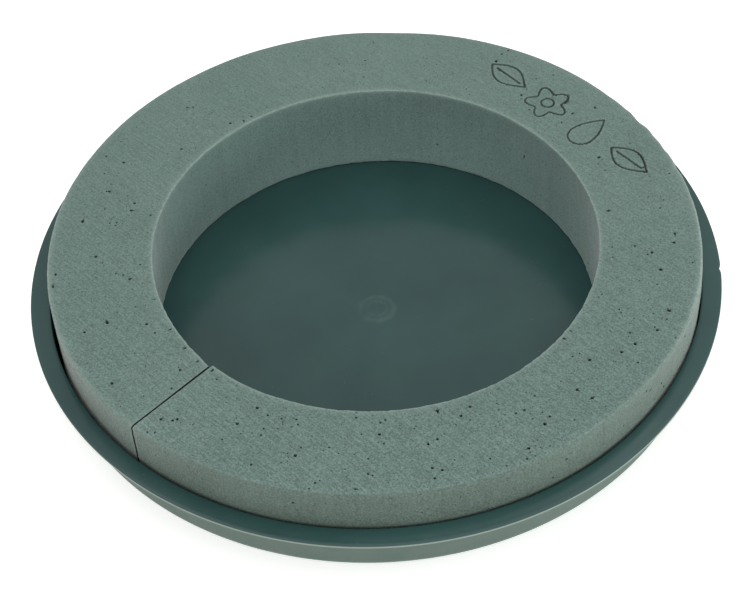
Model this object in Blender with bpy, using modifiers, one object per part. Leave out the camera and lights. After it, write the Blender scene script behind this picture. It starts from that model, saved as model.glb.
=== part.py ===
"""Floral foam ring glued into a round plastic table tray, at real size in metres, +Z up.

The origin is the centre of the tray's flat underside, where the object stands. The tray is
one turned moulding: a flat floor, a nearly upright wall and a flat flange. The foam ring is
one block of foam, cut round by a wire that entered through a single radial kerf, so it is a
C closed on itself. It stands in the tray on hot-melt dabs, one of them each side of the kerf.
"""

import math

import bmesh
import bpy
from mathutils import Matrix, Vector

MM = 0.001
MERGE_DISTANCE = 0.01 * MM
TURN_STEPS = 96

# Tray
RIM_RADIUS = 150.0 * MM
RIM_HEIGHT = 25.7 * MM
FLANGE_THICKNESS = 1.2 * MM
WALL_THICKNESS = 1.2 * MM
FLOOR_THICKNESS = 1.5 * MM
WELL_TOP_RADIUS = 141.5 * MM
WELL_DRAFT = 0.7 * MM
WELL_MOUTH_ROUND = 1.0 * MM
OUTER_CORNER_RADIUS = 6.0 * MM
FLANGE_FILLET = 1.0 * MM
FLANGE_EDGE_ROUND = 0.3 * MM

# Gate of the tray's mould: a low boss inside, above a recess that holds the cut-off sprue
BOSS_RADIUS = 8.5 * MM
BOSS_TOP_RADIUS = 6.2 * MM
BOSS_HEIGHT = 0.2 * MM
RECESS_RADIUS = 7.0 * MM
RECESS_DEPTH = 0.7 * MM
SPRUE_RADIUS = 1.3 * MM
SPRUE_LENGTH = 0.45 * MM

# Foam ring
FOAM_OUTER_RADIUS = 140.8 * MM
FOAM_INNER_RADIUS = 96.4 * MM
FOAM_TOP = 44.5 * MM
SHOULDER_RADIUS = 1.5 * MM
INNER_EDGE_BREAK = 0.4 * MM
CRUSHED_CORNER = 4.0 * MM
KERF_AZIMUTH = math.radians(-135.9)
KERF_WIDTH = 0.5 * MM
KERF_MARGIN = 10.0 * MM

# Hot-melt dabs, pressed flat between the floor and the foam
DAB_COUNT = 8
DAB_RADIUS = 7.5 * MM
DAB_RADIUS_CHANGE = 0.12
DAB_HEIGHT = 0.9 * MM
DAB_STEPS = 24
GAP = 0.3 * MM
KERF_TO_DAB = math.radians(8.0)

# Pressed pictograms: a straight row on the top of the foam, their tops towards its outer edge
MARK_CENTRE = Vector((91.0 * MM, 72.0 * MM))
MARK_DIRECTION = math.radians(-51.7)
MARK_PITCH = 26.0 * MM
MARK_SIZE = 21.0 * MM
GROOVE_RADIUS = 0.5 * MM
GROOVE_CENTRE_DEPTH = 0.35 * MM

FLOOR_TOP = FLOOR_THICKNESS
FOAM_BOTTOM = FLOOR_TOP + GAP + DAB_HEIGHT + GAP


def clear_scene():
    """Remove whatever the file opened with."""
    for item in list(bpy.data.objects):
        bpy.data.objects.remove(item, do_unlink=True)


def new_collection(name):
    """Make a collection under the scene and return it."""
    collection = bpy.data.collections.new(name)
    bpy.context.scene.collection.children.link(collection)
    return collection


def make_material(name, colour, roughness, transmission=0.0):
    """Return a plain Principled material; colour is linear RGB."""
    material = bpy.data.materials.new(name)
    material.use_nodes = True
    shader = material.node_tree.nodes["Principled BSDF"]
    shader.inputs["Base Color"].default_value = (*colour, 1.0)
    shader.inputs["Roughness"].default_value = roughness
    shader.inputs["Metallic"].default_value = 0.0
    shader.inputs["Transmission Weight"].default_value = transmission
    return material


def foam_material():
    """Dry grey-green phenolic foam."""
    return make_material("foam", (0.150, 0.216, 0.195), 0.95)


def tray_material():
    """Dark teal injection-moulded plastic."""
    return make_material("tray_plastic", (0.024, 0.073, 0.071), 0.25)


def glue_material():
    """Clear yellowish hot-melt adhesive."""
    return make_material("hot_melt", (0.66, 0.60, 0.42), 0.4, transmission=0.3)


def arc(centre_r, centre_z, radius, start_deg, end_deg, steps):
    """Points (r, z) on an arc, both ends included."""
    points = []
    for i in range(steps + 1):
        angle = math.radians(start_deg + (end_deg - start_deg) * i / steps)
        points.append((centre_r + radius * math.cos(angle), centre_z + radius * math.sin(angle)))
    return points


def turned_object(name, profile, closed, steps, collection, material):
    """Turn a profile of (r, z) points round Z; the profile runs down its outer side."""
    mesh = bpy.data.meshes.new(name)
    shape = bmesh.new()
    verts = [shape.verts.new((r, 0.0, z)) for r, z in profile]
    for first, second in zip(verts, verts[1:]):
        shape.edges.new((first, second))
    if closed:
        shape.edges.new((verts[-1], verts[0]))
    shape.to_mesh(mesh)
    shape.free()
    mesh.materials.append(material)
    item = bpy.data.objects.new(name, mesh)
    collection.objects.link(item)
    screw = item.modifiers.new("turn", "SCREW")
    screw.axis = "Z"
    screw.angle = math.tau
    screw.steps = steps
    screw.render_steps = steps
    screw.use_merge_vertices = True
    screw.merge_threshold = MERGE_DISTANCE
    screw.use_smooth_shade = True
    smooth_by_angle(item)
    return item


def smooth_by_angle(item, angle=math.radians(35.0)):
    """Bake the modifiers, then shade smooth with sharp edges past the angle."""
    graph = bpy.context.evaluated_depsgraph_get()
    baked = bpy.data.meshes.new_from_object(item.evaluated_get(graph))
    baked.name = item.name
    item.modifiers.clear()
    item.data = baked
    baked.shade_smooth()
    baked.set_sharp_from_angle(angle=angle)


def tray_profile():
    """Half-section of the tray, from the floor's centre out over the rim and back below."""
    inner_corner = OUTER_CORNER_RADIUS - WALL_THICKNESS
    well_foot = WELL_TOP_RADIUS - WELL_DRAFT
    wall_foot = well_foot + WALL_THICKNESS
    wall_top = WELL_TOP_RADIUS + WALL_THICKNESS
    flange_under = RIM_HEIGHT - FLANGE_THICKNESS
    lip = FLANGE_EDGE_ROUND
    mouth_r = WELL_TOP_RADIUS + WELL_MOUTH_ROUND
    mouth_z = RIM_HEIGHT - WELL_MOUTH_ROUND
    fillet_r = wall_top + FLANGE_FILLET
    fillet_z = flange_under - FLANGE_FILLET
    points = [(0.0, FLOOR_TOP + BOSS_HEIGHT), (BOSS_TOP_RADIUS, FLOOR_TOP + BOSS_HEIGHT)]
    points += [(BOSS_RADIUS, FLOOR_TOP)]
    points += arc(well_foot - inner_corner, FLOOR_TOP + inner_corner, inner_corner, -90, 0, 5)
    points += arc(mouth_r, mouth_z, WELL_MOUTH_ROUND, 180, 90, 3)
    points += arc(RIM_RADIUS - lip, RIM_HEIGHT - lip, lip, 90, 0, 3)
    points += arc(RIM_RADIUS - lip, flange_under + lip, lip, 0, -90, 3)
    points += arc(fillet_r, fillet_z, FLANGE_FILLET, 90, 180, 2)
    points += arc(wall_foot - OUTER_CORNER_RADIUS, OUTER_CORNER_RADIUS, OUTER_CORNER_RADIUS, 0, -90, 6)
    points += [(RECESS_RADIUS, 0.0), (RECESS_RADIUS, RECESS_DEPTH), (SPRUE_RADIUS, RECESS_DEPTH)]
    sprue_end = RECESS_DEPTH - SPRUE_LENGTH
    points += [(SPRUE_RADIUS, sprue_end), (0.0, sprue_end)]
    return points


def build_tray(collection):
    """The round tray that holds the foam and the water."""
    return turned_object("tray", tray_profile(), False, TURN_STEPS, collection, tray_material())


def foam_profile():
    """Closed half-section of the foam ring, from its inner top edge round clockwise."""
    shoulder_r = FOAM_OUTER_RADIUS - SHOULDER_RADIUS
    corner_r = FOAM_OUTER_RADIUS - CRUSHED_CORNER
    points = [(FOAM_INNER_RADIUS + INNER_EDGE_BREAK, FOAM_TOP)]
    points += arc(shoulder_r, FOAM_TOP - SHOULDER_RADIUS, SHOULDER_RADIUS, 90, 0, 5)
    points += arc(corner_r, FOAM_BOTTOM + CRUSHED_CORNER, CRUSHED_CORNER, 0, -90, 4)
    points += [(FOAM_INNER_RADIUS, FOAM_BOTTOM)]
    points += [(FOAM_INNER_RADIUS, FOAM_TOP - INNER_EDGE_BREAK)]
    return points


def as_cutter(item, cutters):
    """Move an object among the cutters and keep it out of the model."""
    for owner in list(item.users_collection):
        owner.objects.unlink(item)
    cutters.objects.link(item)
    item.hide_render = True
    item.display_type = "WIRE"
    return item


def cut(item, cutter):
    """Take the cutter's volume out of the item."""
    boolean = item.modifiers.new(cutter.name, "BOOLEAN")
    boolean.operation = "DIFFERENCE"
    boolean.solver = "EXACT"
    boolean.object = cutter


def kerf_cutter(cutters):
    """A thin upright blade along the kerf, through the ring's whole section."""
    length = FOAM_OUTER_RADIUS - FOAM_INNER_RADIUS + 2 * KERF_MARGIN
    height = FOAM_TOP - FOAM_BOTTOM + KERF_MARGIN
    middle = (FOAM_OUTER_RADIUS + FOAM_INNER_RADIUS) / 2
    mesh = bpy.data.meshes.new("kerf_blade")
    shape = bmesh.new()
    bmesh.ops.create_cube(shape, size=1.0, matrix=Matrix.Diagonal((length, KERF_WIDTH, height, 1.0)))
    shape.to_mesh(mesh)
    shape.free()
    blade = bpy.data.objects.new("kerf_blade", mesh)
    blade.location = (
        middle * math.cos(KERF_AZIMUTH),
        middle * math.sin(KERF_AZIMUTH),
        (FOAM_TOP + FOAM_BOTTOM) / 2,
    )
    blade.rotation_euler = (0.0, 0.0, KERF_AZIMUTH)
    return as_cutter(blade, cutters)


def leaf_outline(size):
    """A pointed leaf, lying along X, its stalk end at -X."""
    points = []
    for i in range(24):
        along = i / 12 if i <= 12 else 2.0 - i / 12
        side = 1.0 if i <= 12 else -1.0
        width = 0.31 * math.sin(math.pi * along) * (1.0 - 0.25 * along)
        points.append((size * (along - 0.5), side * size * width))
    return points


def leaf_rib(size):
    """The leaf's midrib."""
    return [(size * (-0.34 + 0.17 * i), 0.0) for i in range(5)]


def flower_outline(size):
    """Five round petals."""
    points = []
    for i in range(50):
        angle = math.tau * i / 50
        radius = size * (0.40 + 0.10 * math.cos(5 * angle))
        points.append((radius * math.cos(angle), radius * math.sin(angle)))
    return points


def flower_eye(size):
    """The round eye of the flower."""
    angles = [math.tau * i / 16 for i in range(16)]
    return [(size * 0.14 * math.cos(angle), size * 0.14 * math.sin(angle)) for angle in angles]


def drop_outline(size):
    """A water drop with its tip at +Y; the points nearest the tip leave room for its mitre."""
    points = [(0.0, size * 0.5)]
    first = 0.55
    for i in range(23):
        angle = first + (math.tau - 2 * first) * i / 22
        width = 0.36 * math.sin(angle) * math.sin(angle / 2)
        points.append((size * width, size * 0.5 * math.cos(angle)))
    return points


def pictograms():
    """Outlines of the row, each as (name, points, closed, place along the row)."""
    leaf = leaf_outline(MARK_SIZE * 1.05)
    rib = leaf_rib(MARK_SIZE * 1.05)
    return [
        ("leaf_a", leaf, True, -1.5),
        ("rib_a", rib, False, -1.5),
        ("flower", flower_outline(MARK_SIZE), True, -0.5),
        ("eye", flower_eye(MARK_SIZE), True, -0.5),
        ("drop", drop_outline(MARK_SIZE), True, 0.5),
        ("leaf_b", leaf, True, 1.5),
        ("rib_b", rib, False, 1.5),
    ]


def groove_cutter(name, points, closed, place, cutters):
    """A round wire along one outline, half sunk in the foam's top."""
    curve = bpy.data.curves.new(name, "CURVE")
    curve.dimensions = "3D"
    curve.bevel_depth = GROOVE_RADIUS
    curve.bevel_resolution = 1
    curve.use_fill_caps = not closed
    spline = curve.splines.new("POLY")
    spline.points.add(len(points) - 1)
    for target, (x, y) in zip(spline.points, points):
        target.co = (x + place * MARK_PITCH, y, 0.0, 1.0)
    spline.use_cyclic_u = closed
    wire = bpy.data.objects.new(name, curve)
    bpy.context.scene.collection.objects.link(wire)
    wire.location = (MARK_CENTRE.x, MARK_CENTRE.y, FOAM_TOP - GROOVE_CENTRE_DEPTH)
    wire.rotation_euler = (0.0, 0.0, MARK_DIRECTION)
    bpy.context.view_layer.update()
    graph = bpy.context.evaluated_depsgraph_get()
    mesh = bpy.data.meshes.new_from_object(wire.evaluated_get(graph))
    shape = bmesh.new()
    shape.from_mesh(mesh)
    bmesh.ops.remove_doubles(shape, verts=shape.verts, dist=MERGE_DISTANCE)
    bmesh.ops.recalc_face_normals(shape, faces=shape.faces)
    shape.to_mesh(mesh)
    shape.free()
    solid = bpy.data.objects.new("groove_" + name, mesh)
    solid.matrix_world = wire.matrix_world.copy()
    bpy.data.objects.remove(wire, do_unlink=True)
    return as_cutter(solid, cutters)


def build_foam_ring(collection, cutters):
    """The foam ring with its kerf and the pressed pictograms."""
    ring = turned_object("foam_ring", foam_profile(), True, TURN_STEPS, collection, foam_material())
    cut(ring, kerf_cutter(cutters))
    for name, points, closed, place in pictograms():
        cut(ring, groove_cutter(name, points, closed, place, cutters))
    return ring


def dab_profile(radius):
    """Half-section of a pressed dab: flat above and below, with a round edge."""
    half = DAB_HEIGHT / 2
    points = [(0.0, DAB_HEIGHT)]
    points += arc(radius - half, half, half, 90, -90, 4)
    points += [(0.0, 0.0)]
    return points


def build_dabs(collection):
    """The hot-melt dabs, spread evenly from one side of the kerf round to the other."""
    middle = (FOAM_OUTER_RADIUS + FOAM_INNER_RADIUS) / 2
    material = glue_material()
    spread = math.tau - 2 * KERF_TO_DAB
    for i in range(DAB_COUNT):
        azimuth = KERF_AZIMUTH + KERF_TO_DAB + spread * i / (DAB_COUNT - 1)
        radius = DAB_RADIUS * (1.0 + DAB_RADIUS_CHANGE * math.sin(2.4 * i))
        name = f"hot_melt_dab_{i + 1}"
        dab = turned_object(name, dab_profile(radius), False, DAB_STEPS, collection, material)
        dab.location = (middle * math.cos(azimuth), middle * math.sin(azimuth), FLOOR_TOP + GAP)


def main():
    clear_scene()
    collection = new_collection("floral_foam_ring_in_tray")
    cutters = new_collection("cutters")
    build_tray(collection)
    build_foam_ring(collection, cutters)
    build_dabs(collection)


main()
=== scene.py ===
"""Looks of the floral foam ring glued into its round plastic tray.

The foam, the tray and the hot-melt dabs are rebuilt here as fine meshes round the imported
model: the foam with its pores, wire marks, crumbled arrises, kerf and pressed pictograms, the
tray with its gate mark and rim nick. Lengths are metres; positions come from the frame.
"""

import math
import random

import bmesh
import bpy
import numpy as np
from mathutils import Matrix, Vector, kdtree, noise


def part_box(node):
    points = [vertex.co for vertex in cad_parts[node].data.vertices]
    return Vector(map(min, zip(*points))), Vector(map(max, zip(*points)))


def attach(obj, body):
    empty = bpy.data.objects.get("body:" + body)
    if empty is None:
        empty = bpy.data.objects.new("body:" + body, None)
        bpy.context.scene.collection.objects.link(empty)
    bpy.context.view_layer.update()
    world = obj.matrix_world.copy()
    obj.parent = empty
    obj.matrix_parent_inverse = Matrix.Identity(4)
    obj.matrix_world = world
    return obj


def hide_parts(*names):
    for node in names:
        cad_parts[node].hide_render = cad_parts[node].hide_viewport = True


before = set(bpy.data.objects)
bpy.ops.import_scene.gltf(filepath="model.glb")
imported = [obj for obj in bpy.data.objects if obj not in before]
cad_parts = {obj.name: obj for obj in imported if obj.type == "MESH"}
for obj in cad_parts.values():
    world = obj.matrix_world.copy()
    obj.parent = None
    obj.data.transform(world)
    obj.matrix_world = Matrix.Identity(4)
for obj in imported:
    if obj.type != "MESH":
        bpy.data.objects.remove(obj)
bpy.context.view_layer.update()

MM = 0.001
SEED = 7

foam_low, foam_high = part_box("foam_ring")
tray_low, tray_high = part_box("tray")
FOAM_OUTER = foam_high.x
FOAM_INNER = min(math.hypot(v.co.x, v.co.y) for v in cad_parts["foam_ring"].data.vertices)
FOAM_TOP = foam_high.z
FOAM_BOTTOM = foam_low.z
FOAM_MIDDLE = (FOAM_OUTER + FOAM_INNER) / 2
RIM_RADIUS = tray_high.x
RIM_HEIGHT = tray_high.z

# The foam's section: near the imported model's, softer at the front, with a lip at its inner foot
SHOULDER = 1.1 * MM
FRONT_SHOULDER = 2.2 * MM
ARRIS_BREAK = 0.35 * MM
CRUSHED_CORNER = 4.0 * MM
FOOT_WIDTH = 8.0 * MM
FOOT_DROP = 1.3 * MM
FOAM_STEPS = 504
TOP_COUNT = 30
WALL_COUNT = 13
INNER_STEP = 1.8 * MM
HIDDEN_STEP = 4.0 * MM
ARC_STEPS = 5
ARRIS_STEPS = 3
ARRIS_REACH = 1.6 * MM

# How close to a surface a point counts as lying on it, and how level a level surface is
TOUCHING = 0.1 * MM
LEVEL = 0.8

# The kerf's two end faces have more corners than this, and all the others fewer
END_FACE_CORNERS = 40

# Direction of the cutting wire's marks on the top
WIRE_DIRECTION = math.radians(-47.0)

# How the cut strays from true circles, up to the blend's width away from each edge
BLEND_WIDTH = 14.0 * MM
TOP_SHIFT = 0.9 * MM
TOP_SINK = 0.17 * MM
INNER_OVAL = -0.35 * MM
INNER_SPREAD = 0.75 * MM
INNER_SPREAD_AZIMUTH = math.radians(72.0)
INNER_SPREAD_REACH = math.radians(45.0)
FOOT_CREEP = 1.55 * MM
FOOT_CREEP_AZIMUTH = math.radians(132.0)
FOOT_CREEP_REACH = math.radians(50.0)
OUTER_SHRINK = 0.5 * MM
OUTER_SWELL = 0.5 * MM
OUTER_SWELL_AZIMUTH = math.radians(58.0)
OUTER_SWELL_REACH = math.radians(15.0)
LEFT_TUCK = 1.2 * MM
LEFT_TUCK_AZIMUTH = math.radians(-150.0)
LEFT_TUCK_REACH = math.radians(30.0)
DIP_AZIMUTH = math.radians(84.0)
DIP_REACH = math.radians(6.0)
DIP_DEPTH = 0.8 * MM
WAVER = 0.22 * MM
WAVER_PITCH = 28.0 * MM
FINE_WAVER = 0.16 * MM
FINE_WAVER_PITCH = 5.0 * MM

# Worn stretch of the outer edge beside the pictograms
WORN_AZIMUTH = math.radians(20.0)
WORN_SPREAD = math.radians(15.0)
WORN_DEPTH = 1.3 * MM
WORN_TALL = 8.0 * MM
WORN_PITCH = 7.5 * MM

# The foam bulges on the right: a little over its whole height, and more just above the flange
BULGE_AZIMUTH = math.radians(-19.0)
BULGE_SPREAD = math.radians(12.0)
BULGE_HEIGHT = 0.45 * MM
SIDE_BULGE = 1.1 * MM
SIDE_BULGE_SPREAD = math.radians(13.0)
SIDE_BULGE_TALL = 9.0 * MM
SIDE_BULGE_LIFT = 5.0 * MM
# Painted highlight: how much lighter the bulge's outer wall is painted
SIDE_BULGE_HIGHLIGHT = 0.5

# The kerf where the cutting wire came in
KERF_AZIMUTH = math.radians(-135.9)
KERF_INNER_HALF = 0.36 * MM
KERF_OUTER_HALF = 0.24 * MM
KERF_WALL_HALF = 0.52 * MM
KERF_STEP = 1.5 * MM
KERF_STEP_REACH = math.radians(4.5)

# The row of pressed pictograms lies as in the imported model; its grooves are deeper here
MARK_CENTRE = Vector((91.0 * MM, 72.0 * MM))
MARK_DIRECTION = math.radians(-51.7)
MARK_PITCH = 26.0 * MM
MARK_SIZE = 21.0 * MM
GROOVE_HALF = 0.48 * MM
GROOVE_DEPTH = 1.3 * MM
GROOVE_LIP = 0.18 * MM
# Painted shade in the grooves
GROOVE_SHADE = 0.58
GROOVE_SAMPLE = 0.2 * MM
GROOVE_PROFILE = 0.7
GROOVE_RAGGED = 0.25
GROOVE_RAGGED_PITCH = 0.9 * MM
GROOVE_PRESS = 0.85
GROOVE_PRESS_CHANGE = 0.5
GROOVE_PRESS_PITCH = 9.0 * MM

# Proportions of the pictograms, as shares of their size
LEAF_SCALE = 1.05
LEAF_WIDTH = 0.31
LEAF_TAPER = 0.25
LEAF_HALF_STEPS = 12
PETALS = 5
PETAL_CENTRE = 0.40
PETAL_REACH = 0.10
FLOWER_STEPS = 50
EYE_RADIUS = 0.14
EYE_STEPS = 16
DROP_WIDTH = 0.36
DROP_START = 0.55
DROP_STEPS = 22

# Small unevenness of the cut surface, how the edges crumble and gather dust, and the painted
# highlights on the outer edge and the groove lips
UNEVENNESS = 0.04 * MM
UNEVEN_PITCH = 1.7 * MM
CRUMB_PITCH = 2.6 * MM
FINE_CRUMB_PITCH = 0.8 * MM
ARRIS_CRUMBLE = 0.35 * MM
KERF_CRUMBLE = 0.3 * MM
INNER_WEAR_REACH = 0.75 * MM
# Reach of the outer edge's dust and painted highlight
OUTER_DUST_AND_SHEEN_REACH = 0.9 * MM
KERF_WEAR_REACH = 0.4 * MM
KERF_DUST = 0.5
# Painted highlight: how much lighter the groove's raised lips are painted
LIP_HIGHLIGHT = 0.35

# Pores: a pore's depth is a multiple of its radius, and most of them are small
PORE_COUNT = 470
PORE_SMALL = 0.17 * MM
PORE_LARGE = 0.66 * MM
PORE_SKEW = 2.6
PORE_DEPTH = 2.6
PORE_TOP_SHARE = 0.74
PORE_WALL_SHARE = 0.92
PORE_EVENNESS = 1.3
PORE_INNER_MARGIN = 1.5 * MM
PORE_OUTER_MARGIN = 2.0 * MM
PORE_FOOT_MARGIN = 4.0 * MM
PORE_ARRIS_MARGIN = 3.0 * MM
# Depth at which the painted shade in a pore or a groove is full
PAINTED_SHADE_DEPTH = 0.34 * MM
CLUSTER_COUNT = 14
CLUSTER_FEWEST = 2
CLUSTER_MOST = 5
CLUSTER_LARGEST = 0.6 * PORE_LARGE
CLUSTER_SPREAD = 1.6 * MM
CLUSTER_WALL_SPREAD = 1.3 * MM

# Faces near a pore or a groove are split twice: all round it, and again close to it
DETAIL_REACH = 0.6 * MM
FINE_DETAIL_REACH = 0.1 * MM

# The tray's section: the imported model's, with a tighter round at the well's mouth
TRAY_STEPS = 540
FLOOR_STEP = 6.0 * MM
TRAY_WALL_STEP = 3.0 * MM
FLANGE_STEP = 1.8 * MM
FLANGE_UNDER_STEP = 2.0 * MM
FLANGE_LIP = 0.3 * MM
FLANGE_THICKNESS = 1.2 * MM
WALL_THICKNESS = 1.2 * MM
FLOOR_THICKNESS = 1.5 * MM
WELL_TOP_RADIUS = 141.5 * MM
WELL_DRAFT = 0.7 * MM
WELL_MOUTH_ROUND = 0.45 * MM
OUTER_CORNER = 6.0 * MM
FLANGE_FILLET = 1.0 * MM
BOSS_RADIUS = 8.5 * MM
BOSS_TOP_RADIUS = 6.2 * MM
BOSS_HEIGHT = 0.2 * MM
GATE_STEPS = 44
GATE_MARGIN = 1.5 * MM
GATE_DISH_RADIUS = 2.2 * MM
GATE_DISH_DEPTH = 0.04 * MM
GATE_RING_RADIUS = 4.6 * MM
GATE_RING_WIDTH = 0.6 * MM
GATE_RING_DEPTH = 0.02 * MM
RECESS_RADIUS = 7.0 * MM
RECESS_DEPTH = 0.7 * MM
SPRUE_RADIUS = 1.3 * MM
SPRUE_LENGTH = 0.45 * MM
FRONT_SAG = 0.85 * MM
FRONT_SAG_AZIMUTH = math.radians(-75.0)
FRONT_SAG_REACH = math.radians(52.0)
NICK_AZIMUTH = math.radians(-4.0)
NICK_WIDTH = 1.4 * MM
NICK_DEPTH = 0.7 * MM
NICK_REACH = 1.5 * MM

# Outline of a dab: how far it fills its circle, how lobed it is, and how unlike the others
DAB_STEPS = 64
DAB_FILL = 0.93
DAB_LOBE = 0.07
DAB_LOBE_SCALE = 1.4
DAB_DIFFERENCE = 90.0

# Edges bent more than this are shaded as sharp ones
FOAM_SHARP = math.radians(50.0)
TRAY_SHARP = math.radians(40.0)
DAB_SHARP = math.radians(60.0)

# Colours, as linear RGB: patches of a surface run from the first to the second of a pair
FOAM_TOP_COLOURS = ((0.131, 0.199, 0.176), (0.146, 0.216, 0.193))
# Painted light: the inner wall is painted lighter than the top
INNER_WALL_PAINTED_LIGHT_COLOURS = ((0.143, 0.216, 0.198), (0.156, 0.234, 0.216))
# Painted shade: the outer wall is painted darker than the top
OUTER_WALL_PAINTED_SHADE_COLOURS = ((0.086, 0.122, 0.103), (0.099, 0.142, 0.122))
# Dust on the foam, and the painted highlights on its edges and groove lips
FOAM_DUST_AND_SHEEN_COLOUR = (0.31, 0.39, 0.355)
TRAY_COLOURS = ((0.023, 0.065, 0.063), (0.032, 0.085, 0.081))
TRAY_DUST_COLOUR = (0.16, 0.20, 0.18)
# Painted reflection of the bright floor on the tray's outside wall
TRAY_OUTSIDE_REFLECTION_COLOUR = (0.090, 0.130, 0.110)
# Painted highlight along the flange's edge
TRAY_EDGE_HIGHLIGHT_COLOUR = (0.20, 0.25, 0.22)
TRAY_BLUSH_COLOUR = (0.12, 0.19, 0.175)
GLUE_COLOURS = ((0.62, 0.55, 0.36), (0.74, 0.69, 0.52))
FLOOR_COLOURS = ((0.93, 0.93, 0.92), (0.95, 0.95, 0.94))
FLOOR_GLOW = (1.0, 0.99, 0.975)
TENT_COLOUR = (1.0, 0.995, 0.985)

# Cells per metre of the dark specks in the foam and of the dust grains on the tray
SPECK_SCALE = 700.0
DUST_SCALE = 420.0

# Camera: elevation, roll, distance and aim, fitted to the object's round edges in the picture
CAMERA_ELEVATION = math.radians(46.353)
CAMERA_ROLL = math.radians(-3.31)
CAMERA_DISTANCE = 968.97 * MM
CAMERA_AIM = Vector((-0.2 * MM, -17.66 * MM, RIM_HEIGHT))
CAMERA_LENS = 107.71
SENSOR_WIDTH = 36.0


def arc(centre_r, centre_z, radius, start_deg, end_deg, steps):
    """Points (r, z) on an arc, both ends included."""
    points = []
    for i in range(steps + 1):
        angle = math.radians(start_deg + (end_deg - start_deg) * i / steps)
        points.append((centre_r + radius * math.cos(angle), centre_z + radius * math.sin(angle)))
    return points


def spaced(points, step):
    """The corners of a polyline with points added so that no stretch is longer than step."""
    result = [points[0]]
    for (r0, z0), (r1, z1) in zip(points, points[1:]):
        count = max(1, math.ceil(math.hypot(r1 - r0, z1 - z0) / step - 0.001))
        for i in range(1, count + 1):
            result.append((r0 + (r1 - r0) * i / count, z0 + (z1 - z0) * i / count))
    return result


def evenly(start, end, count):
    """Points from start to end in count equal stretches."""
    (r0, z0), (r1, z1) = start, end
    return [(r0 + (r1 - r0) * i / count, z0 + (z1 - z0) * i / count) for i in range(count + 1)]


def joined(*stretches):
    """One line through stretches that each begin at the end of the one before."""
    line = stretches[0][:1]
    for stretch in stretches:
        line += stretch[1:]
    return line


def smoothstep(low, high, value):
    """0 below low, 1 above high, smooth between."""
    t = min(1.0, max(0.0, (value - low) / (high - low)))
    return t * t * (3.0 - 2.0 * t)


def bell(value, middle, reach):
    """1 at the middle, falling smoothly to 0 a few reaches away."""
    return math.exp(-(((value - middle) / reach) ** 2))


def mesh_object(name, shape):
    """Turn a bmesh into a smooth-shaded object in the scene."""
    mesh = bpy.data.meshes.new(name)
    shape.to_mesh(mesh)
    shape.free()
    mesh.shade_smooth()
    item = bpy.data.objects.new(name, mesh)
    bpy.context.scene.collection.objects.link(item)
    return item


def keep_attribute(item, name, values, domain="POINT"):
    """Give every vertex or face of a mesh its own value, for its material to read."""
    attribute = item.data.attributes.new(name, "FLOAT", domain)
    attribute.data.foreach_set("value", np.array(values, np.float32))


# ---------------------------------------------------------------- foam ring


def shoulder_at(azimuth):
    """Radius of the outer top edge, which is softer at the front."""
    front = bell((azimuth % math.tau) / math.tau, 0.75, 0.1)
    return SHOULDER + (FRONT_SHOULDER - SHOULDER) * front


def foam_section(shoulder_radius):
    """Closed section of the ring: along the top, down outside, back below, up inside."""
    shoulder_r = FOAM_OUTER - shoulder_radius
    corner_r = FOAM_OUTER - CRUSHED_CORNER
    corner_z = FOAM_BOTTOM + CRUSHED_CORNER
    arris_r = FOAM_INNER + ARRIS_BREAK
    arris_z = FOAM_TOP - ARRIS_BREAK
    top = evenly((arris_r, FOAM_TOP), (shoulder_r, FOAM_TOP), TOP_COUNT)
    shoulder = arc(shoulder_r, FOAM_TOP - shoulder_radius, shoulder_radius, 90, 0, ARC_STEPS)
    shown = evenly(shoulder[-1], (FOAM_OUTER, RIM_HEIGHT - MM), WALL_COUNT)
    hidden = spaced([shown[-1], (FOAM_OUTER, corner_z)], HIDDEN_STEP)
    corner = arc(corner_r, corner_z, CRUSHED_CORNER, 0, -90, ARC_STEPS)
    below = spaced([corner[-1], (FOAM_INNER + FOOT_WIDTH, FOAM_BOTTOM)], HIDDEN_STEP)
    below += [(FOAM_INNER + FOOT_WIDTH / 2, FOAM_BOTTOM - 0.8 * FOOT_DROP)]
    below += [(FOAM_INNER + ARRIS_BREAK, FOAM_BOTTOM - FOOT_DROP)]
    below += [(FOAM_INNER, FOAM_BOTTOM - FOOT_DROP + ARRIS_BREAK)]
    inside = spaced([below[-1], (FOAM_INNER, arris_z)], INNER_STEP)
    arris = arc(arris_r, arris_z, ARRIS_BREAK, 180, 90, ARRIS_STEPS)
    return joined(top, shoulder, shown, hidden, corner, below, inside, arris)[:-1]


def kerf_half(r, z):
    """Half the kerf's width at a point of the section: it closes up towards the shoulder."""
    across = smoothstep(FOAM_INNER, FOAM_OUTER - SHOULDER, r)
    on_top = KERF_INNER_HALF + (KERF_OUTER_HALF - KERF_INNER_HALF) * across
    down = smoothstep(FOAM_TOP, FOAM_TOP - 2 * SHOULDER, z)
    return on_top + (KERF_WALL_HALF - on_top) * down


def foam_blank():
    """The ring before it gets its surface: a C whose two ends face each other at the kerf."""
    shape = bmesh.new()
    columns = []
    for i in range(FOAM_STEPS + 1):
        column = []
        nominal = KERF_AZIMUTH + math.tau * i / FOAM_STEPS
        for r, z in foam_section(shoulder_at(nominal)):
            half = kerf_half(r, z) / r
            azimuth = KERF_AZIMUTH + half + (math.tau - 2 * half) * i / FOAM_STEPS
            column.append(shape.verts.new((r * math.cos(azimuth), r * math.sin(azimuth), z)))
        columns.append(column)
    count = len(columns[0])
    for left, right in zip(columns, columns[1:]):
        for j in range(count):
            k = (j + 1) % count
            shape.faces.new((left[j], left[k], right[k], right[j]))
    shape.faces.new(list(reversed(columns[0])))
    shape.faces.new(columns[-1])
    shape.normal_update()
    return shape


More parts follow.
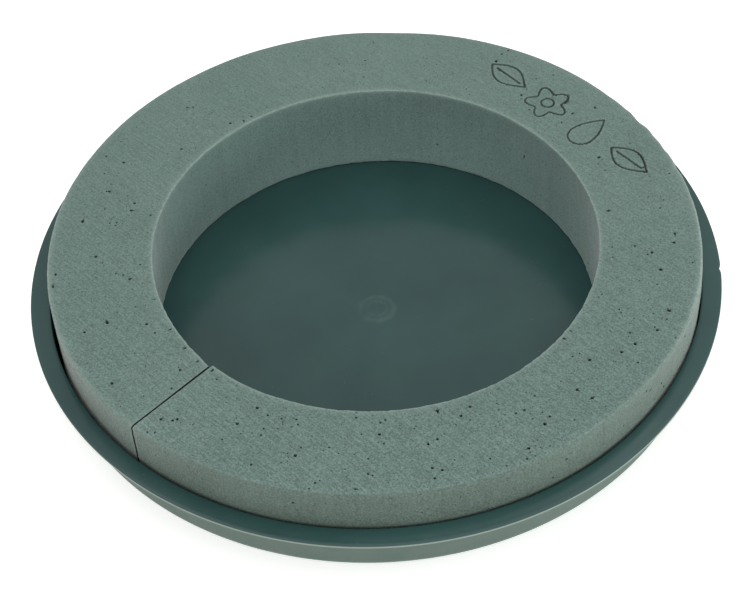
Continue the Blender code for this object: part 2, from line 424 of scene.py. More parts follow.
def refine(shape, wanted, cuts):
    """Split the faces whose middle is wanted into a finer grid."""
    edges = set()
    for face in shape.faces:
        if len(face.verts) <= 4 and wanted(face.calc_center_median()):
            edges.update(face.edges)
    bmesh.ops.subdivide_edges(shape, edges=list(edges), cuts=cuts, use_grid_fill=True)


def tree_of(points):
    """A search tree over points."""
    tree = kdtree.KDTree(len(points))
    for i, point in enumerate(points):
        tree.insert(point, i)
    tree.balance()
    return tree


def leaf_outline(size):
    """A pointed leaf, lying along X, its stalk end at -X."""
    points = []
    half = LEAF_HALF_STEPS
    for i in range(2 * half):
        along = i / half if i <= half else 2.0 - i / half
        side = 1.0 if i <= half else -1.0
        width = LEAF_WIDTH * math.sin(math.pi * along) * (1.0 - LEAF_TAPER * along)
        points.append((size * (along - 0.5), side * size * width))
    return points


def leaf_rib(size):
    """The leaf's midrib."""
    return [(size * (-0.34 + 0.17 * i), 0.0) for i in range(5)]


def flower_outline(size):
    """Five round petals."""
    points = []
    for i in range(FLOWER_STEPS):
        angle = math.tau * i / FLOWER_STEPS
        radius = size * (PETAL_CENTRE + PETAL_REACH * math.cos(PETALS * angle))
        points.append((radius * math.cos(angle), radius * math.sin(angle)))
    return points


def flower_eye(size):
    """The round eye of the flower."""
    radius = size * EYE_RADIUS
    angles = [math.tau * i / EYE_STEPS for i in range(EYE_STEPS)]
    return [(radius * math.cos(angle), radius * math.sin(angle)) for angle in angles]


def drop_outline(size):
    """A water drop with its tip at +Y."""
    points = [(0.0, size * 0.5)]
    for i in range(DROP_STEPS + 1):
        angle = DROP_START + (math.tau - 2 * DROP_START) * i / DROP_STEPS
        width = DROP_WIDTH * math.sin(angle) * math.sin(angle / 2)
        points.append((size * width, size * 0.5 * math.cos(angle)))
    return points


def pictograms():
    """Outlines of the row, each as (points, closed, place along the row)."""
    leaf = leaf_outline(MARK_SIZE * LEAF_SCALE)
    rib = leaf_rib(MARK_SIZE * LEAF_SCALE)
    return [
        (leaf, True, -1.5),
        (rib, False, -1.5),
        (flower_outline(MARK_SIZE), True, -0.5),
        (flower_eye(MARK_SIZE), True, -0.5),
        (drop_outline(MARK_SIZE), True, 0.5),
        (leaf, True, 1.5),
        (rib, False, 1.5),
    ]


def groove_line():
    """Points along the middle of every pressed groove, on the foam's top."""
    turn = Matrix.Rotation(MARK_DIRECTION, 2)
    line = []
    for points, closed, place in pictograms():
        outline = points + points[:1] if closed else points
        for x, y in spaced(outline, GROOVE_SAMPLE):
            spot = MARK_CENTRE + turn @ Vector((x + place * MARK_PITCH, y))
            line.append(Vector((spot.x, spot.y, FOAM_TOP)))
    return line


def pore_spot(rng):
    """A random point on the ring's top, outer wall or inner wall, and denser at the front."""
    while True:
        azimuth = rng.uniform(0, math.tau)
        if rng.random() < (PORE_EVENNESS - math.sin(azimuth)) / (PORE_EVENNESS + 1.0):
            break
    where = rng.random()
    if where < PORE_TOP_SHARE:
        r = rng.uniform(FOAM_INNER + PORE_INNER_MARGIN, FOAM_OUTER - PORE_OUTER_MARGIN)
        z = FOAM_TOP
    elif where < PORE_WALL_SHARE:
        r = FOAM_OUTER
        z = rng.uniform(RIM_HEIGHT + MM, FOAM_TOP - SHOULDER)
    else:
        r = FOAM_INNER
        z = rng.uniform(FOAM_BOTTOM + PORE_FOOT_MARGIN, FOAM_TOP - PORE_ARRIS_MARGIN)
    return r, azimuth, z


def pores():
    """Every pore as (centre, radius): single ones, and clusters of small ones."""
    rng = random.Random(SEED)
    found = []
    for _ in range(PORE_COUNT):
        r, azimuth, z = pore_spot(rng)
        radius = PORE_SMALL + (PORE_LARGE - PORE_SMALL) * rng.random() ** PORE_SKEW
        found.append((Vector((r * math.cos(azimuth), r * math.sin(azimuth), z)), radius))
    for _ in range(CLUSTER_COUNT):
        r, azimuth, z = pore_spot(rng)
        for _ in range(rng.randint(CLUSTER_FEWEST, CLUSTER_MOST)):
            near_r, near_z = r, z
            if z >= FOAM_TOP:
                near_r = max(FOAM_INNER + MM, r + rng.gauss(0, CLUSTER_SPREAD))
                near_r = min(FOAM_OUTER - PORE_OUTER_MARGIN, near_r)
            else:
                near_z += rng.gauss(0, CLUSTER_WALL_SPREAD)
            near = azimuth + rng.gauss(0, CLUSTER_SPREAD) / r
            radius = rng.uniform(PORE_SMALL, CLUSTER_LARGEST)
            spot = Vector((near_r * math.cos(near), near_r * math.sin(near), near_z))
            found.append((spot, radius))
    return found


def kerf_offset(azimuth):
    """Angle from the kerf, from 0 at its one side round to a full turn at its other."""
    return (azimuth - KERF_AZIMUTH) % math.tau


def worn_edge(point, azimuth):
    """How far the stretch of the outer top edge beside the pictograms has been rubbed away."""
    nearness = bell(azimuth, WORN_AZIMUTH, WORN_SPREAD)
    height = smoothstep(FOAM_TOP - WORN_TALL, FOAM_TOP - MM, point.z)
    return WORN_DEPTH * nearness * height * max(0.0, 0.2 + noise.noise(point / WORN_PITCH))


def side_bulge(point, azimuth):
    """1 in the middle of the bulge at the right, where the foam was squeezed, 0 away from it."""
    height = bell(point.z, RIM_HEIGHT + SIDE_BULGE_LIFT, SIDE_BULGE_TALL)
    return height * bell(azimuth, 0.0, SIDE_BULGE_SPREAD)


def stray(point):
    """How far the cut strays outwards from the true ring, as a radial distance."""
    r = math.hypot(point.x, point.y)
    azimuth = math.atan2(point.y, point.x)
    inner = 1.0 - smoothstep(FOAM_INNER, FOAM_INNER + BLEND_WIDTH, r)
    outer = smoothstep(FOAM_OUTER - BLEND_WIDTH, FOAM_OUTER - SHOULDER, r)
    height = (point.z - FOAM_BOTTOM) / (FOAM_TOP - FOAM_BOTTOM)
    spread = INNER_SPREAD * bell(azimuth, INNER_SPREAD_AZIMUTH, INNER_SPREAD_REACH)
    spread += TOP_SHIFT * math.cos(azimuth) + INNER_OVAL * math.cos(2 * azimuth)
    creep = FOOT_CREEP * bell(azimuth, FOOT_CREEP_AZIMUTH, FOOT_CREEP_REACH)
    distance = inner * (height * spread - (1.0 - height) * creep)
    before_kerf = math.tau - kerf_offset(azimuth)
    distance += inner * KERF_STEP * math.exp(-before_kerf / KERF_STEP_REACH)
    wave = noise.noise(Vector((point.x, point.y, 0.3 * point.z)) / WAVER_PITCH)
    fine = noise.noise(point / FINE_WAVER_PITCH)
    distance += inner * (1.2 * WAVER * wave + FINE_WAVER * fine)
    distance += outer * (WAVER * wave + 0.6 * FINE_WAVER * fine - OUTER_SHRINK)
    distance += outer * BULGE_HEIGHT * bell(azimuth, BULGE_AZIMUTH, BULGE_SPREAD)
    distance += outer * SIDE_BULGE * side_bulge(point, azimuth)
    distance += outer * OUTER_SWELL * bell(azimuth, OUTER_SWELL_AZIMUTH, OUTER_SWELL_REACH)
    distance -= outer * DIP_DEPTH * bell(azimuth, DIP_AZIMUTH, DIP_REACH)
    tuck = LEFT_TUCK * bell(azimuth, LEFT_TUCK_AZIMUTH, LEFT_TUCK_REACH)
    distance -= outer * (1.0 - height) * tuck
    return distance - outer * worn_edge(point, azimuth)


def crumble(point, depth):
    """How much an edge has crumbled away at this point."""
    coarse = noise.noise(point / CRUMB_PITCH)
    fine = noise.noise(point / FINE_CRUMB_PITCH + Vector((5.0, 1.0, 3.0)))
    return depth * max(0.0, 0.35 + 0.9 * coarse + 0.5 * fine)


def hollow_depth(point, normal, pore_tree, pore_sizes, groove_tree):
    """Depth of the pore or the groove here, the painted shade in it, and the groove's raised lip.
    """
    depth = 0.0
    shade = 0.0
    lip = 0.0
    for _, index, distance in pore_tree.find_range(point, PORE_LARGE):
        radius = pore_sizes[index]
        if distance < radius:
            depth = max(depth, PORE_DEPTH * radius * math.sqrt(1.0 - (distance / radius) ** 2))
            shade = min(1.0, depth / PAINTED_SHADE_DEPTH)
    if normal.z > LEVEL and point.z > FOAM_TOP - TOUCHING:
        ragged = 1.0 + GROOVE_RAGGED * noise.noise(point / GROOVE_RAGGED_PITCH)
        distance = groove_tree.find(point)[2] * ragged / GROOVE_HALF
        wave = noise.noise(point / GROOVE_PRESS_PITCH)
        pressed = GROOVE_PRESS + GROOVE_PRESS_CHANGE * wave
        if distance < 1.0:
            profile = (1.0 - distance**2) ** GROOVE_PROFILE
            depth = max(depth, pressed * GROOVE_DEPTH * profile)
            shade = max(shade, pressed * GROOVE_SHADE * min(1.0, depth / PAINTED_SHADE_DEPTH))
        elif distance < 2.0:
            lip = math.sin(math.pi * (distance - 1.0))
    return depth - GROOVE_LIP * lip, shade, lip


def edge_wear_and_sheen(point):
    """Nearness to the inner arrises, the outer top edge and the kerf: 1 on them, 0 away. The outer
    edge's share is dust and a painted highlight, stronger at the sides and on the bulge.
    """
    r = math.hypot(point.x, point.y)
    azimuth = math.atan2(point.y, point.x)
    upper = math.hypot(r - FOAM_INNER, point.z - FOAM_TOP)
    lower = math.hypot(r - FOAM_INNER, point.z - FOAM_BOTTOM + FOOT_DROP)
    outer = math.hypot(r - FOAM_OUTER, point.z - FOAM_TOP)
    along = kerf_offset(azimuth)
    kerf = min(along, math.tau - along) * r
    inner = math.exp(-min(upper, lower) / INNER_WEAR_REACH)
    # Painted highlight: the outer edge is painted lighter at the sides than at the front
    outer_edge_dust_and_sheen = (0.4 + 0.8 * math.cos(azimuth) ** 4) * math.exp(-outer / OUTER_DUST_AND_SHEEN_REACH)
    # Painted highlight on the bulge's outer wall
    if r > FOAM_OUTER - TOUCHING:
        outer_edge_dust_and_sheen += SIDE_BULGE_HIGHLIGHT * side_bulge(point, azimuth)
    return inner, outer_edge_dust_and_sheen, math.exp(-kerf / KERF_WEAR_REACH)


def near_arris(centre):
    """Whether a face lies along the inner top edge."""
    r = math.hypot(centre.x, centre.y)
    return abs(r - FOAM_INNER) + abs(centre.z - FOAM_TOP) < ARRIS_REACH


def refine_foam(shape, pore_tree, groove_tree):
    """Give the blank the small faces that its inner edge, pores and grooves need."""

    def near_detail(centre, reach):
        if pore_tree.find(centre)[2] < PORE_LARGE + reach:
            return True
        on_top = abs(centre.z - FOAM_TOP) < TOUCHING
        return on_top and groove_tree.find(centre)[2] < GROOVE_HALF + reach

    refine(shape, near_arris, 1)
    refine(shape, lambda centre: near_detail(centre, DETAIL_REACH), 2)
    refine(shape, lambda centre: near_detail(centre, FINE_DETAIL_REACH), 1)
    crowded = [face for face in shape.faces if 4 < len(face.verts) < END_FACE_CORNERS]
    bmesh.ops.triangulate(shape, faces=crowded)
    shape.normal_update()


def build_foam():
    """The foam ring with its full surface."""
    shape = foam_blank()
    found = pores()
    pore_tree = tree_of([spot for spot, _ in found])
    pore_sizes = [radius for _, radius in found]
    groove_tree = tree_of(groove_line())
    refine_foam(shape, pore_tree, groove_tree)
    places = []
    dust_and_sheen = []
    painted_hollow_shade = []
    for vert in shape.verts:
        point = vert.co
        wear, outer_dust_and_sheen, kerf_wear = edge_wear_and_sheen(point)
        outward = Vector((point.x, point.y, 0.0)).normalized()
        depth, shade, lip = hollow_depth(point, vert.normal, pore_tree, pore_sizes, groove_tree)
        sunk = depth + UNEVENNESS * noise.noise(point / UNEVEN_PITCH)
        sunk += crumble(point, ARRIS_CRUMBLE) * wear + crumble(point, KERF_CRUMBLE) * kerf_wear
        sunk += TOP_SINK * max(0.0, vert.normal.z)
        place = point + outward * stray(point) - vert.normal * sunk
        place.z = min(FOAM_TOP, place.z)
        places.append(place)
        # Dust on the arrises and the kerf, with painted highlights on the outer edge, the bulge and
        # the groove lips
        dust_and_sheen.append(min(1.0, wear + outer_dust_and_sheen + KERF_DUST * kerf_wear + LIP_HIGHLIGHT * lip))
        painted_hollow_shade.append(shade)
    for vert, place in zip(shape.verts, places):
        vert.co = place
    # The kerf's end faces, which get painted shade and no dust
    kerf_faces = [float(len(face.verts) > END_FACE_CORNERS) for face in shape.faces]
    ring = mesh_object("foam_ring_cut", shape)
    keep_attribute(ring, "dust_and_sheen", dust_and_sheen)
    keep_attribute(ring, "painted_hollow_shade", painted_hollow_shade)
    keep_attribute(ring, "kerf_face", kerf_faces, "FACE")
    ring.data.set_sharp_from_angle(angle=FOAM_SHARP)
    return ring


# --------------------------------------------------------------------- tray


def tray_section():
    """Half-section of the tray, from the floor's centre out over the rim and back below."""
    inner_corner = OUTER_CORNER - WALL_THICKNESS
    well_foot = WELL_TOP_RADIUS - WELL_DRAFT
    wall_foot = well_foot + WALL_THICKNESS
    wall_top = WELL_TOP_RADIUS + WALL_THICKNESS
    flange_under = RIM_HEIGHT - FLANGE_THICKNESS
    mouth_r = WELL_TOP_RADIUS + WELL_MOUTH_ROUND
    mouth_z = RIM_HEIGHT - WELL_MOUTH_ROUND
    fillet_r = wall_top + FLANGE_FILLET
    fillet_z = flange_under - FLANGE_FILLET
    corner = arc(well_foot - inner_corner, FLOOR_THICKNESS + inner_corner, inner_corner, -90, 0, 8)
    mouth = arc(mouth_r, mouth_z, WELL_MOUTH_ROUND, 180, 90, 5)
    edge_r = RIM_RADIUS - FLANGE_LIP
    edge = arc(edge_r, RIM_HEIGHT - FLANGE_LIP, FLANGE_LIP, 90, 0, 4)
    edge += arc(edge_r, flange_under + FLANGE_LIP, FLANGE_LIP, 0, -90, 4)
    fillet = arc(fillet_r, fillet_z, FLANGE_FILLET, 90, 180, 4)
    foot = arc(wall_foot - OUTER_CORNER, OUTER_CORNER, OUTER_CORNER, 0, -90, 10)
    sprue_end = RECESS_DEPTH - SPRUE_LENGTH
    mark = gate_mark()
    section = joined(
        mark,
        spaced([mark[-1], corner[0]], FLOOR_STEP),
        corner,
        spaced([corner[-1], mouth[0]], TRAY_WALL_STEP),
        mouth,
        spaced([mouth[-1], edge[0]], FLANGE_STEP),
        edge,
        spaced([edge[-1], fillet[0]], FLANGE_UNDER_STEP),
        fillet,
        spaced([fillet[-1], foot[0]], TRAY_WALL_STEP),
        foot,
        spaced([foot[-1], (RECESS_RADIUS, 0.0)], FLOOR_STEP),
    )
    section += [(RECESS_RADIUS, RECESS_DEPTH), (SPRUE_RADIUS, RECESS_DEPTH)]
    section += [(SPRUE_RADIUS, sprue_end), (0.0, sprue_end)]
    return section


def gate_mark():
    """The low boss over the gate, with the two ring marks that the mould leaves round it."""
    points = []
    reach = BOSS_RADIUS + GATE_MARGIN
    for i in range(GATE_STEPS + 1):
        r = reach * i / GATE_STEPS
        height = BOSS_HEIGHT * (1.0 - smoothstep(BOSS_TOP_RADIUS - MM, BOSS_RADIUS, r))
        height -= GATE_DISH_DEPTH * bell(r, 0.0, GATE_DISH_RADIUS)
        height += GATE_RING_DEPTH * bell(r, GATE_RING_RADIUS, GATE_RING_WIDTH)
        height -= GATE_RING_DEPTH * bell(r, BOSS_RADIUS, GATE_RING_WIDTH)
        points.append((r, FLOOR_THICKNESS + height))
    return points


def tray_stray(point):
    """Mould warp of the flange and the nick in its edge."""
    r = math.hypot(point.x, point.y)
    azimuth = math.atan2(point.y, point.x)
    on_flange = smoothstep(WELL_TOP_RADIUS, RIM_RADIUS, r)
    on_flange *= smoothstep(0.6 * RIM_HEIGHT, RIM_HEIGHT, point.z)
    lift = -FRONT_SAG * on_flange * bell(azimuth, FRONT_SAG_AZIMUTH, FRONT_SAG_REACH)
    along = (azimuth - NICK_AZIMUTH) * r
    nick = NICK_DEPTH * bell(along, 0.0, NICK_WIDTH)
    nick *= smoothstep(RIM_RADIUS - NICK_REACH, RIM_RADIUS, r)
    return lift, -nick * on_flange


def outside_wall(point):
    """1 on the outside of the pan's wall, which gets a painted reflection, 2 on the flange's edge,
    which gets a painted highlight, 0 elsewhere.
    """
    r = math.hypot(point.x, point.y)
    half = 0.5 * FLANGE_THICKNESS
    if point.z < RIM_HEIGHT - TOUCHING and r > RIM_RADIUS - half:
        return 2.0
    on_wall = point.z < RIM_HEIGHT - half and r > WELL_TOP_RADIUS + 2 * TOUCHING
    below = point.z < FLOOR_THICKNESS and r > WELL_TOP_RADIUS - OUTER_CORNER
    return 1.0 if on_wall or below else 0.0


def gate_blush(point):
    """The pale rings that flow marks leave round the gate, on the floor's upper side."""
    r = math.hypot(point.x, point.y)
    if point.z < FLOOR_THICKNESS - 2 * TOUCHING or r > 2 * BOSS_RADIUS:
        return 0.0
    outer_ring = bell(r, 7.4 * MM, 1.3 * MM)
    inner_ring = bell(r, 4.4 * MM, 1.0 * MM)
    return 0.8 * outer_ring + 0.6 * inner_ring + 0.4 * bell(r, 0.0, 2.0 * MM)


def build_tray():
    """The tray, turned from its section. Its values come from the places before the warp."""
    section = tray_section()
    shape = bmesh.new()
    top_pole = shape.verts.new((0.0, 0.0, section[0][1]))
    low_pole = shape.verts.new((0.0, 0.0, section[-1][1]))
    unwarped = [top_pole.co.copy(), low_pole.co.copy()]
    columns = []
    for i in range(TRAY_STEPS):
        azimuth = math.tau * i / TRAY_STEPS
        column = []
        for r, z in section[1:-1]:
            point = Vector((r * math.cos(azimuth), r * math.sin(azimuth), z))
            lift, inward = tray_stray(point)
            scale = 1.0 + inward / r
            column.append(shape.verts.new((point.x * scale, point.y * scale, z + lift)))
            unwarped.append(point)
        columns.append(column)
    for i, left in enumerate(columns):
        right = columns[(i + 1) % TRAY_STEPS]
        shape.faces.new((top_pole, left[0], right[0]))
        for j in range(len(left) - 1):
            shape.faces.new((left[j], left[j + 1], right[j + 1], right[j]))
        shape.faces.new((left[-1], low_pole, right[-1]))
    shape.normal_update()
    outside = [outside_wall(point) for point in unwarped]
    blush = [gate_blush(point) for point in unwarped]
    tray = mesh_object("tray_moulding", shape)
    keep_attribute(tray, "outside", outside)
    keep_attribute(tray, "blush", blush)
    tray.data.set_sharp_from_angle(angle=TRAY_SHARP)
    return tray


# ------------------------------------------------------------ hot-melt dabs


def build_dab(node):
    """One pressed dab of hot melt: flat above and below, its outline lobed where it spread."""
    low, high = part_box(node)
    centre = (low + high) / 2
    radius = (high.x - low.x) / 2
    half = (high.z - low.z) / 2
    section = [(radius - half, half)] + arc(radius - half, 0.0, half, 90, -90, 8)[1:]
    shape = bmesh.new()
    rings = []
    for r, z in section:
        ring = []
        for i in range(DAB_STEPS):
            angle = math.tau * i / DAB_STEPS
            way = Vector((math.cos(angle), math.sin(angle), 0.0))
            wave = noise.noise(way * DAB_LOBE_SCALE + centre * DAB_DIFFERENCE)
            lobe = DAB_FILL + DAB_LOBE * wave
            x = centre.x + way.x * r * lobe
            y = centre.y + way.y * r * lobe
            ring.append(shape.verts.new((x, y, centre.z + z)))
        rings.append(ring)
    for upper, lower in zip(rings, rings[1:]):
        for i in range(DAB_STEPS):
            k = (i + 1) % DAB_STEPS
            shape.faces.new((upper[i], lower[i], lower[k], upper[k]))
    shape.faces.new(rings[0])
    shape.faces.new(list(reversed(rings[-1])))
    shape.normal_update()
    dab = mesh_object(node.replace("hot_melt_dab", "pressed_dab"), shape)
    dab.data.set_sharp_from_angle(angle=DAB_SHARP)
    return dab


# ---------------------------------------------------------------- materials


class Nodes:
    """Short hand for building a material's node tree."""

    def __init__(self, name):
        self.material = bpy.data.materials.new(name)
        self.material.use_nodes = True
        self.tree = self.material.node_tree
        self.shader = self.tree.nodes["Principled BSDF"]
        self.place = self.tree.nodes.new("ShaderNodeTexCoord").outputs["Object"]

    def link(self, source, target):
        self.tree.links.new(source, target)

    def attribute(self, name):
        node = self.tree.nodes.new("ShaderNodeAttribute")
        node.attribute_name = name
        return node.outputs["Fac"]

    def noise(self, scale, detail=2.0, roughness=0.5, vector=None):
        node = self.tree.nodes.new("ShaderNodeTexNoise")
        node.inputs["Scale"].default_value = scale
        node.inputs["Detail"].default_value = detail
        node.inputs["Roughness"].default_value = roughness
        self.link(vector or self.place, node.inputs["Vector"])
        return node.outputs["Fac"]

    def cells(self, scale, output="Distance"):
        node = self.tree.nodes.new("ShaderNodeTexVoronoi")
        node.inputs["Scale"].default_value = scale
        self.link(self.place, node.inputs["Vector"])
        return node.outputs[output]

    def mapped(self, scale, turn=0.0):
        turned = self.tree.nodes.new("ShaderNodeVectorRotate")
        turned.rotation_type = "Z_AXIS"
        turned.inputs["Angle"].default_value = -turn
        self.link(self.place, turned.inputs["Vector"])
        node = self.tree.nodes.new("ShaderNodeVectorMath")
        node.operation = "MULTIPLY"
        node.inputs[1].default_value = scale
        self.link(turned.outputs["Vector"], node.inputs[0])
        return node.outputs["Vector"]

    def mottle(self, scale, detail=2.0, roughness=0.5, low=0.0, high=1.0):
        """Noise stretched so that it runs from low to high."""
        return self.ranged(self.noise(scale, detail, roughness), 0.3, 0.7, low, high)

    def some_cells(self, scale, channel, below, above, amount):
        """The amount in those cells whose random colour is above a limit, and 0 in the rest."""
        chosen = self.tree.nodes.new("ShaderNodeSeparateColor")
        self.link(self.cells(scale, "Color"), chosen.inputs["Color"])
        return self.ranged(chosen.outputs[channel], below, above, 0.0, amount)

    def axes(self, vector):
        """The X, Y and Z of a vector."""
        node = self.tree.nodes.new("ShaderNodeSeparateXYZ")
        self.link(vector, node.inputs["Vector"])
        return node.outputs

    def ranged(self, value, low, high, to_low, to_high):
        node = self.tree.nodes.new("ShaderNodeMapRange")
        node.inputs["From Min"].default_value = low
        node.inputs["From Max"].default_value = high
        node.inputs["To Min"].default_value = to_low
        node.inputs["To Max"].default_value = to_high
        self.link(value, node.inputs["Value"])
        return node.outputs["Result"]

    def math(self, operation, first, second):
        node = self.tree.nodes.new("ShaderNodeMath")
        node.operation = operation
        for socket, value in zip(node.inputs, (first, second)):
            if isinstance(value, (int, float)):
                socket.default_value = value
            else:
                self.link(value, socket)
        return node.outputs["Value"]

    def mix(self, factor, first, second):
        node = self.tree.nodes.new("ShaderNodeMix")
        node.data_type = "RGBA"
        self.link(factor, node.inputs["Factor"])
        for socket, value in ((node.inputs["A"], first), (node.inputs["B"], second)):
            if isinstance(value, tuple):
                socket.default_value = (*value, 1.0)
            else:
                self.link(value, socket)
        return node.outputs["Result"]

    def scaled(self, colour, factor):
        node = self.tree.nodes.new("ShaderNodeVectorMath")
        node.operation = "SCALE"
        self.link(colour, node.inputs[0])
        self.link(factor, node.inputs["Scale"])
        return node.outputs["Vector"]

    def bump(self, height, strength, distance, under=None):
        node = self.tree.nodes.new("ShaderNodeBump")
        node.inputs["Strength"].default_value = strength
        node.inputs["Distance"].default_value = distance
        self.link(height, node.inputs["Height"])
        if under:
            self.link(under, node.inputs["Normal"])
        return node.outputs["Normal"]


def foam_tone(n, top):
    """The foam's colour: the top; the inner wall, painted lighter than the top and lighter still
    towards its foot as painted light; the outer wall, painted darker as painted shade.
    """
    away = n.tree.nodes.new("ShaderNodeVectorMath")
    away.operation = "LENGTH"
    n.link(n.place, away.inputs[0])
    outside = n.ranged(away.outputs["Value"], FOAM_MIDDLE, FOAM_OUTER, 0.0, 1.0)
    patches = n.mottle(34.0, 3.0)
    on_top = n.mix(patches, *FOAM_TOP_COLOURS)
    inner_wall = n.mix(patches, *INNER_WALL_PAINTED_LIGHT_COLOURS)
    # Painted light: the inner wall is painted lighter towards its foot, where shade falls in the
    # well
    painted_foot_light = n.ranged(n.axes(n.place)["Z"], FOAM_BOTTOM, FOAM_TOP, 1.30, 0.84)
    inner_wall = n.scaled(inner_wall, painted_foot_light)
    # Painted shade: the outer wall's darker colour
    outer_wall = n.mix(patches, *OUTER_WALL_PAINTED_SHADE_COLOURS)
    return n.mix(top, n.mix(outside, inner_wall, outer_wall), on_top)


def foam_streaks(n, top, coarse):
    """The cutting wire's marks on the top, and upright bands on the walls."""
    marks = n.noise(1.0, 3.0, 0.65, n.mapped((90.0, 1150.0, 1.0), WIRE_DIRECTION))
    marks = n.math("MULTIPLY", n.math("SUBTRACT", marks, 0.5), n.math("MULTIPLY", coarse, 0.5))
    marks = n.math("ADD", marks, 1.0)
    bands = n.noise(1.0, 3.0, 0.6, n.mapped((260.0, 260.0, 5.0)))
    bands = n.ranged(bands, 0.3, 0.7, 0.95, 1.05)
    streaks = n.math("MULTIPLY", bands, n.math("SUBTRACT", 1.0, top))
    return n.math("ADD", streaks, n.math("MULTIPLY", marks, top))


def foam_specks(n):
    """1, and less in the dark speck that one cell in five has."""
    specks = n.ranged(n.cells(SPECK_SCALE), 0.14, 0.26, 0.45, 1.0)
    shown = n.some_cells(SPECK_SCALE, "Red", 0.80, 0.82, 1.0)
    return n.math("SUBTRACT", 1.0, n.math("MULTIPLY", shown, n.math("SUBTRACT", 1.0, specks)))


def foam_material():
    """Dry phenolic foam: grey-green, granular, with wire marks, dust on its arrises and kerf,
    painted highlights on its outer edge and groove lips, and painted shade in its pores, grooves
    and kerf.
    """
    n = Nodes("floral_foam")
    facing = n.axes(n.tree.nodes.new("ShaderNodeNewGeometry").outputs["Normal"])
    top = n.ranged(facing["Z"], 0.75, 0.95, 0.0, 1.0)
    coarse = n.ranged(n.axes(n.place)["Y"], -FOAM_OUTER, FOAM_OUTER, 1.9, 0.9)
    grain = n.math("SUBTRACT", n.noise(1300.0, 2.0, 0.7), 0.5)
    grain = n.math("ADD", n.math("MULTIPLY", grain, coarse), 1.0)
    streaks = foam_streaks(n, top, coarse)
    # Painted shade: pores, grooves and the kerf's end faces are painted darker, by up to 0.88
    kerf_face = n.attribute("kerf_face")
    painted_hollow_shade = n.math("MAXIMUM", n.attribute("painted_hollow_shade"), kerf_face)
    shade = n.math("SUBTRACT", 1.0, n.math("MULTIPLY", painted_hollow_shade, 0.88))
    marked = n.math("MULTIPLY", grain, streaks)
    darkened = n.math("MULTIPLY", foam_specks(n), shade)
    colour = n.scaled(foam_tone(n, top), n.math("MULTIPLY", marked, darkened))
    # Dust and painted highlights in the dust colour, none on the kerf's end faces
    dust_and_sheen = n.math("MULTIPLY", n.attribute("dust_and_sheen"), n.math("SUBTRACT", 1.0, kerf_face))
    dust_and_sheen_amount = n.math("MULTIPLY", dust_and_sheen, n.mottle(900.0, low=0.45))
    n.link(n.mix(dust_and_sheen_amount, colour, FOAM_DUST_AND_SHEEN_COLOUR), n.shader.inputs["Base Color"])
    height = n.math("ADD", n.noise(1900.0, 3.0, 0.65), n.math("MULTIPLY", n.cells(2600.0), 0.6))
    normal = n.bump(height, 0.6, 0.18 * MM)
    n.link(n.bump(streaks, 0.6, 0.30 * MM, normal), n.shader.inputs["Normal"])
    n.shader.inputs["Roughness"].default_value = 0.95
    n.shader.inputs["Specular IOR Level"].default_value = 0.25
    n.shader.inputs["Sheen Weight"].default_value = 0.35
    n.shader.inputs["Sheen Roughness"].default_value = 0.35
    return n.material


def tray_material():
    """Dark teal moulded plastic: satin inside; matt on the outside wall, painted paler there as a
    painted reflection of the bright floor; a painted highlight along the flange's edge.
    """
    n = Nodes("tray_plastic")
    colour = n.mix(n.mottle(22.0, 3.0), *TRAY_COLOURS)
    dust_and_sheen = n.ranged(n.cells(DUST_SCALE), 0.06, 0.10, 1.0, 0.0)
    dust_and_sheen = n.math("MULTIPLY", dust_and_sheen, n.some_cells(DUST_SCALE, "Green", 0.955, 0.965, 0.6))
    colour = n.mix(dust_and_sheen, colour, TRAY_DUST_COLOUR)
    outside = n.attribute("outside")
    # Painted reflection: the outside wall is painted paler, in patches
    painted_floor_reflection = n.math("MULTIPLY", outside, n.mottle(70.0, 3.0, low=0.75))
    colour = n.mix(painted_floor_reflection, colour, TRAY_OUTSIDE_REFLECTION_COLOUR)
    # Painted highlight along the flange's edge
    colour = n.mix(n.ranged(outside, 1.2, 2.0, 0.0, 1.0), colour, TRAY_EDGE_HIGHLIGHT_COLOUR)
    cloudy = n.mottle(190.0, 4.0, low=0.02, high=0.30)
    blush = n.math("MULTIPLY", n.attribute("blush"), cloudy)
    n.link(n.mix(blush, colour, TRAY_BLUSH_COLOUR), n.shader.inputs["Base Color"])
    smear = n.mottle(75.0, 5.0, 0.65, 0.15, 0.26)
    scuffs = n.noise(1.0, 3.0, 0.6, n.mapped((90.0, 1300.0, 90.0), math.radians(25.0)))
    rough = n.math("ADD", smear, n.ranged(scuffs, 0.58, 0.80, 0.0, 0.08))
    rough = n.math("ADD", rough, n.math("MULTIPLY", n.math("MINIMUM", outside, 1.0), 0.35))
    n.link(rough, n.shader.inputs["Roughness"])
    waves = n.bump(n.noise(38.0, 2.0), 0.25, 0.5 * MM)
    normal = n.bump(n.noise(1400.0, 2.0), 0.12, 0.05 * MM, waves)
    n.link(normal, n.shader.inputs["Normal"])
    n.shader.inputs["Specular IOR Level"].default_value = 0.38
    return n.material


def glue_material():
    """Clear yellowish hot melt, cloudy inside."""
    n = Nodes("hot_melt")
    cloud = n.mottle(240.0, 3.0)
    n.link(n.mix(cloud, *GLUE_COLOURS), n.shader.inputs["Base Color"])
    n.link(n.ranged(cloud, 0.0, 1.0, 0.28, 0.42), n.shader.inputs["Roughness"])
    n.link(n.bump(n.noise(500.0), 0.3, 0.1 * MM), n.shader.inputs["Normal"])
    n.shader.inputs["Transmission Weight"].default_value = 0.35
    n.shader.inputs["IOR"].default_value = 1.48
    return n.material


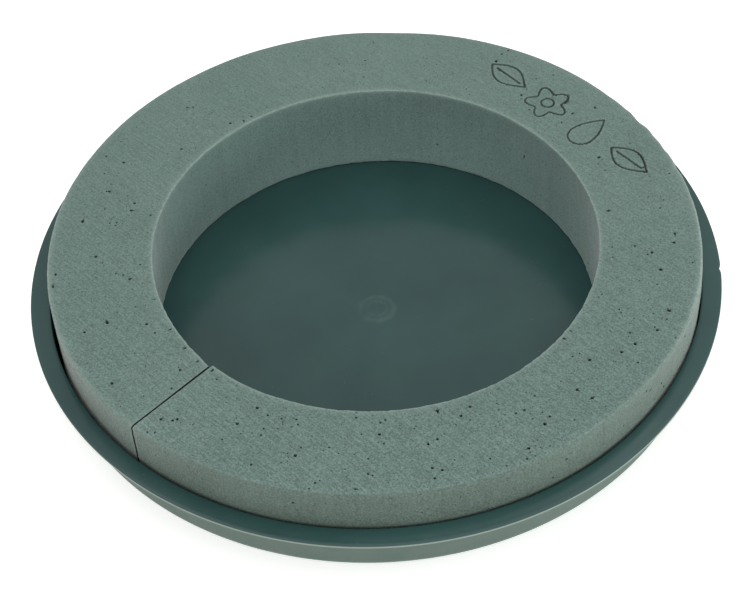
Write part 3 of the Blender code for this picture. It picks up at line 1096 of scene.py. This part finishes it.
def floor_material():
    """Plain white light table."""
    n = Nodes("studio_floor")
    n.link(n.mix(n.mottle(3.0), *FLOOR_COLOURS), n.shader.inputs["Base Color"])
    n.shader.inputs["Roughness"].default_value = 0.9
    n.shader.inputs["Specular IOR Level"].default_value = 0.1
    n.shader.inputs["Emission Color"].default_value = (*FLOOR_GLOW, 1.0)
    n.shader.inputs["Emission Strength"].default_value = 0.5
    return n.material


# ------------------------------------------------------------------- studio


def build_floor():
    """A wide pale floor, just below the tray so that the two don't coincide."""
    shape = bmesh.new()
    bmesh.ops.create_grid(shape, x_segments=8, y_segments=8, size=9.0)
    floor = mesh_object("studio_floor", shape)
    floor.location.z = -0.05 * MM
    floor.data.materials.append(floor_material())


def area_light(name, place, target, size, power, tint=(1.0, 1.0, 1.0)):
    """A rectangular softbox that faces its target."""
    data = bpy.data.lights.new(name, "AREA")
    data.shape = "RECTANGLE"
    data.size, data.size_y = size
    data.energy = power
    data.color = tint
    light = bpy.data.objects.new(name, data)
    bpy.context.scene.collection.objects.link(light)
    light.location = place
    light.rotation_euler = (Vector(target) - Vector(place)).to_track_quat("-Z", "Y").to_euler()


def build_lights():
    """A white light tent with a softbox above, one at each side and one over the camera."""
    area_light("overhead", (0.0, 0.4, 1.7), (0.0, 0.0, 0.0), (1.6, 1.2), 5.2)
    area_light("left_box", (-1.3, -0.2, 0.14), (0.0, 0.0, 0.03), (1.0, 0.25), 1.2)
    area_light("right_box", (1.3, -0.2, 0.14), (0.0, 0.0, 0.03), (1.0, 0.25), 8.0, (0.9, 1.0, 0.97))
    area_light("front_box", (0.0, -1.5, 0.75), (0.0, 0.1, 0.02), (1.6, 0.7), 5.3)
    world = bpy.data.worlds.new("light_tent")
    world.use_nodes = True
    tent = world.node_tree.nodes["Background"]
    tent.inputs["Color"].default_value = (*TENT_COLOUR, 1.0)
    tent.inputs["Strength"].default_value = 0.78
    bpy.context.scene.world = world


def build_camera():
    """The camera at the picture's viewing angle."""
    data = bpy.data.cameras.new("camera")
    data.sensor_width = SENSOR_WIDTH
    data.lens = CAMERA_LENS
    camera = bpy.data.objects.new("camera", data)
    bpy.context.scene.collection.objects.link(camera)
    cos_e, sin_e = math.cos(CAMERA_ELEVATION), math.sin(CAMERA_ELEVATION)
    forward = Vector((0.0, cos_e, -sin_e))
    level = Vector((1.0, 0.0, 0.0))
    upright = Vector((0.0, sin_e, cos_e))
    cos_r, sin_r = math.cos(CAMERA_ROLL), math.sin(CAMERA_ROLL)
    right = cos_r * level + sin_r * upright
    up = -sin_r * level + cos_r * upright
    turn = Matrix((right, up, -forward)).transposed().to_4x4()
    camera.matrix_world = Matrix.Translation(CAMERA_AIM - forward * CAMERA_DISTANCE) @ turn
    bpy.context.scene.camera = camera


def place_piece(piece, node, material):
    """Give a piece its material, and let it stand for its CAD node."""
    piece.data.materials.append(material)
    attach(piece, "root")
    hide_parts(node)


def main():
    bpy.context.scene.view_settings.view_transform = "Standard"
    place_piece(build_foam(), "foam_ring", foam_material())
    place_piece(build_tray(), "tray", tray_material())
    glue = glue_material()
    for node in sorted(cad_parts):
        if node.startswith("hot_melt_dab"):
            place_piece(build_dab(node), node, glue)
    build_floor()
    build_lights()
    build_camera()


main()
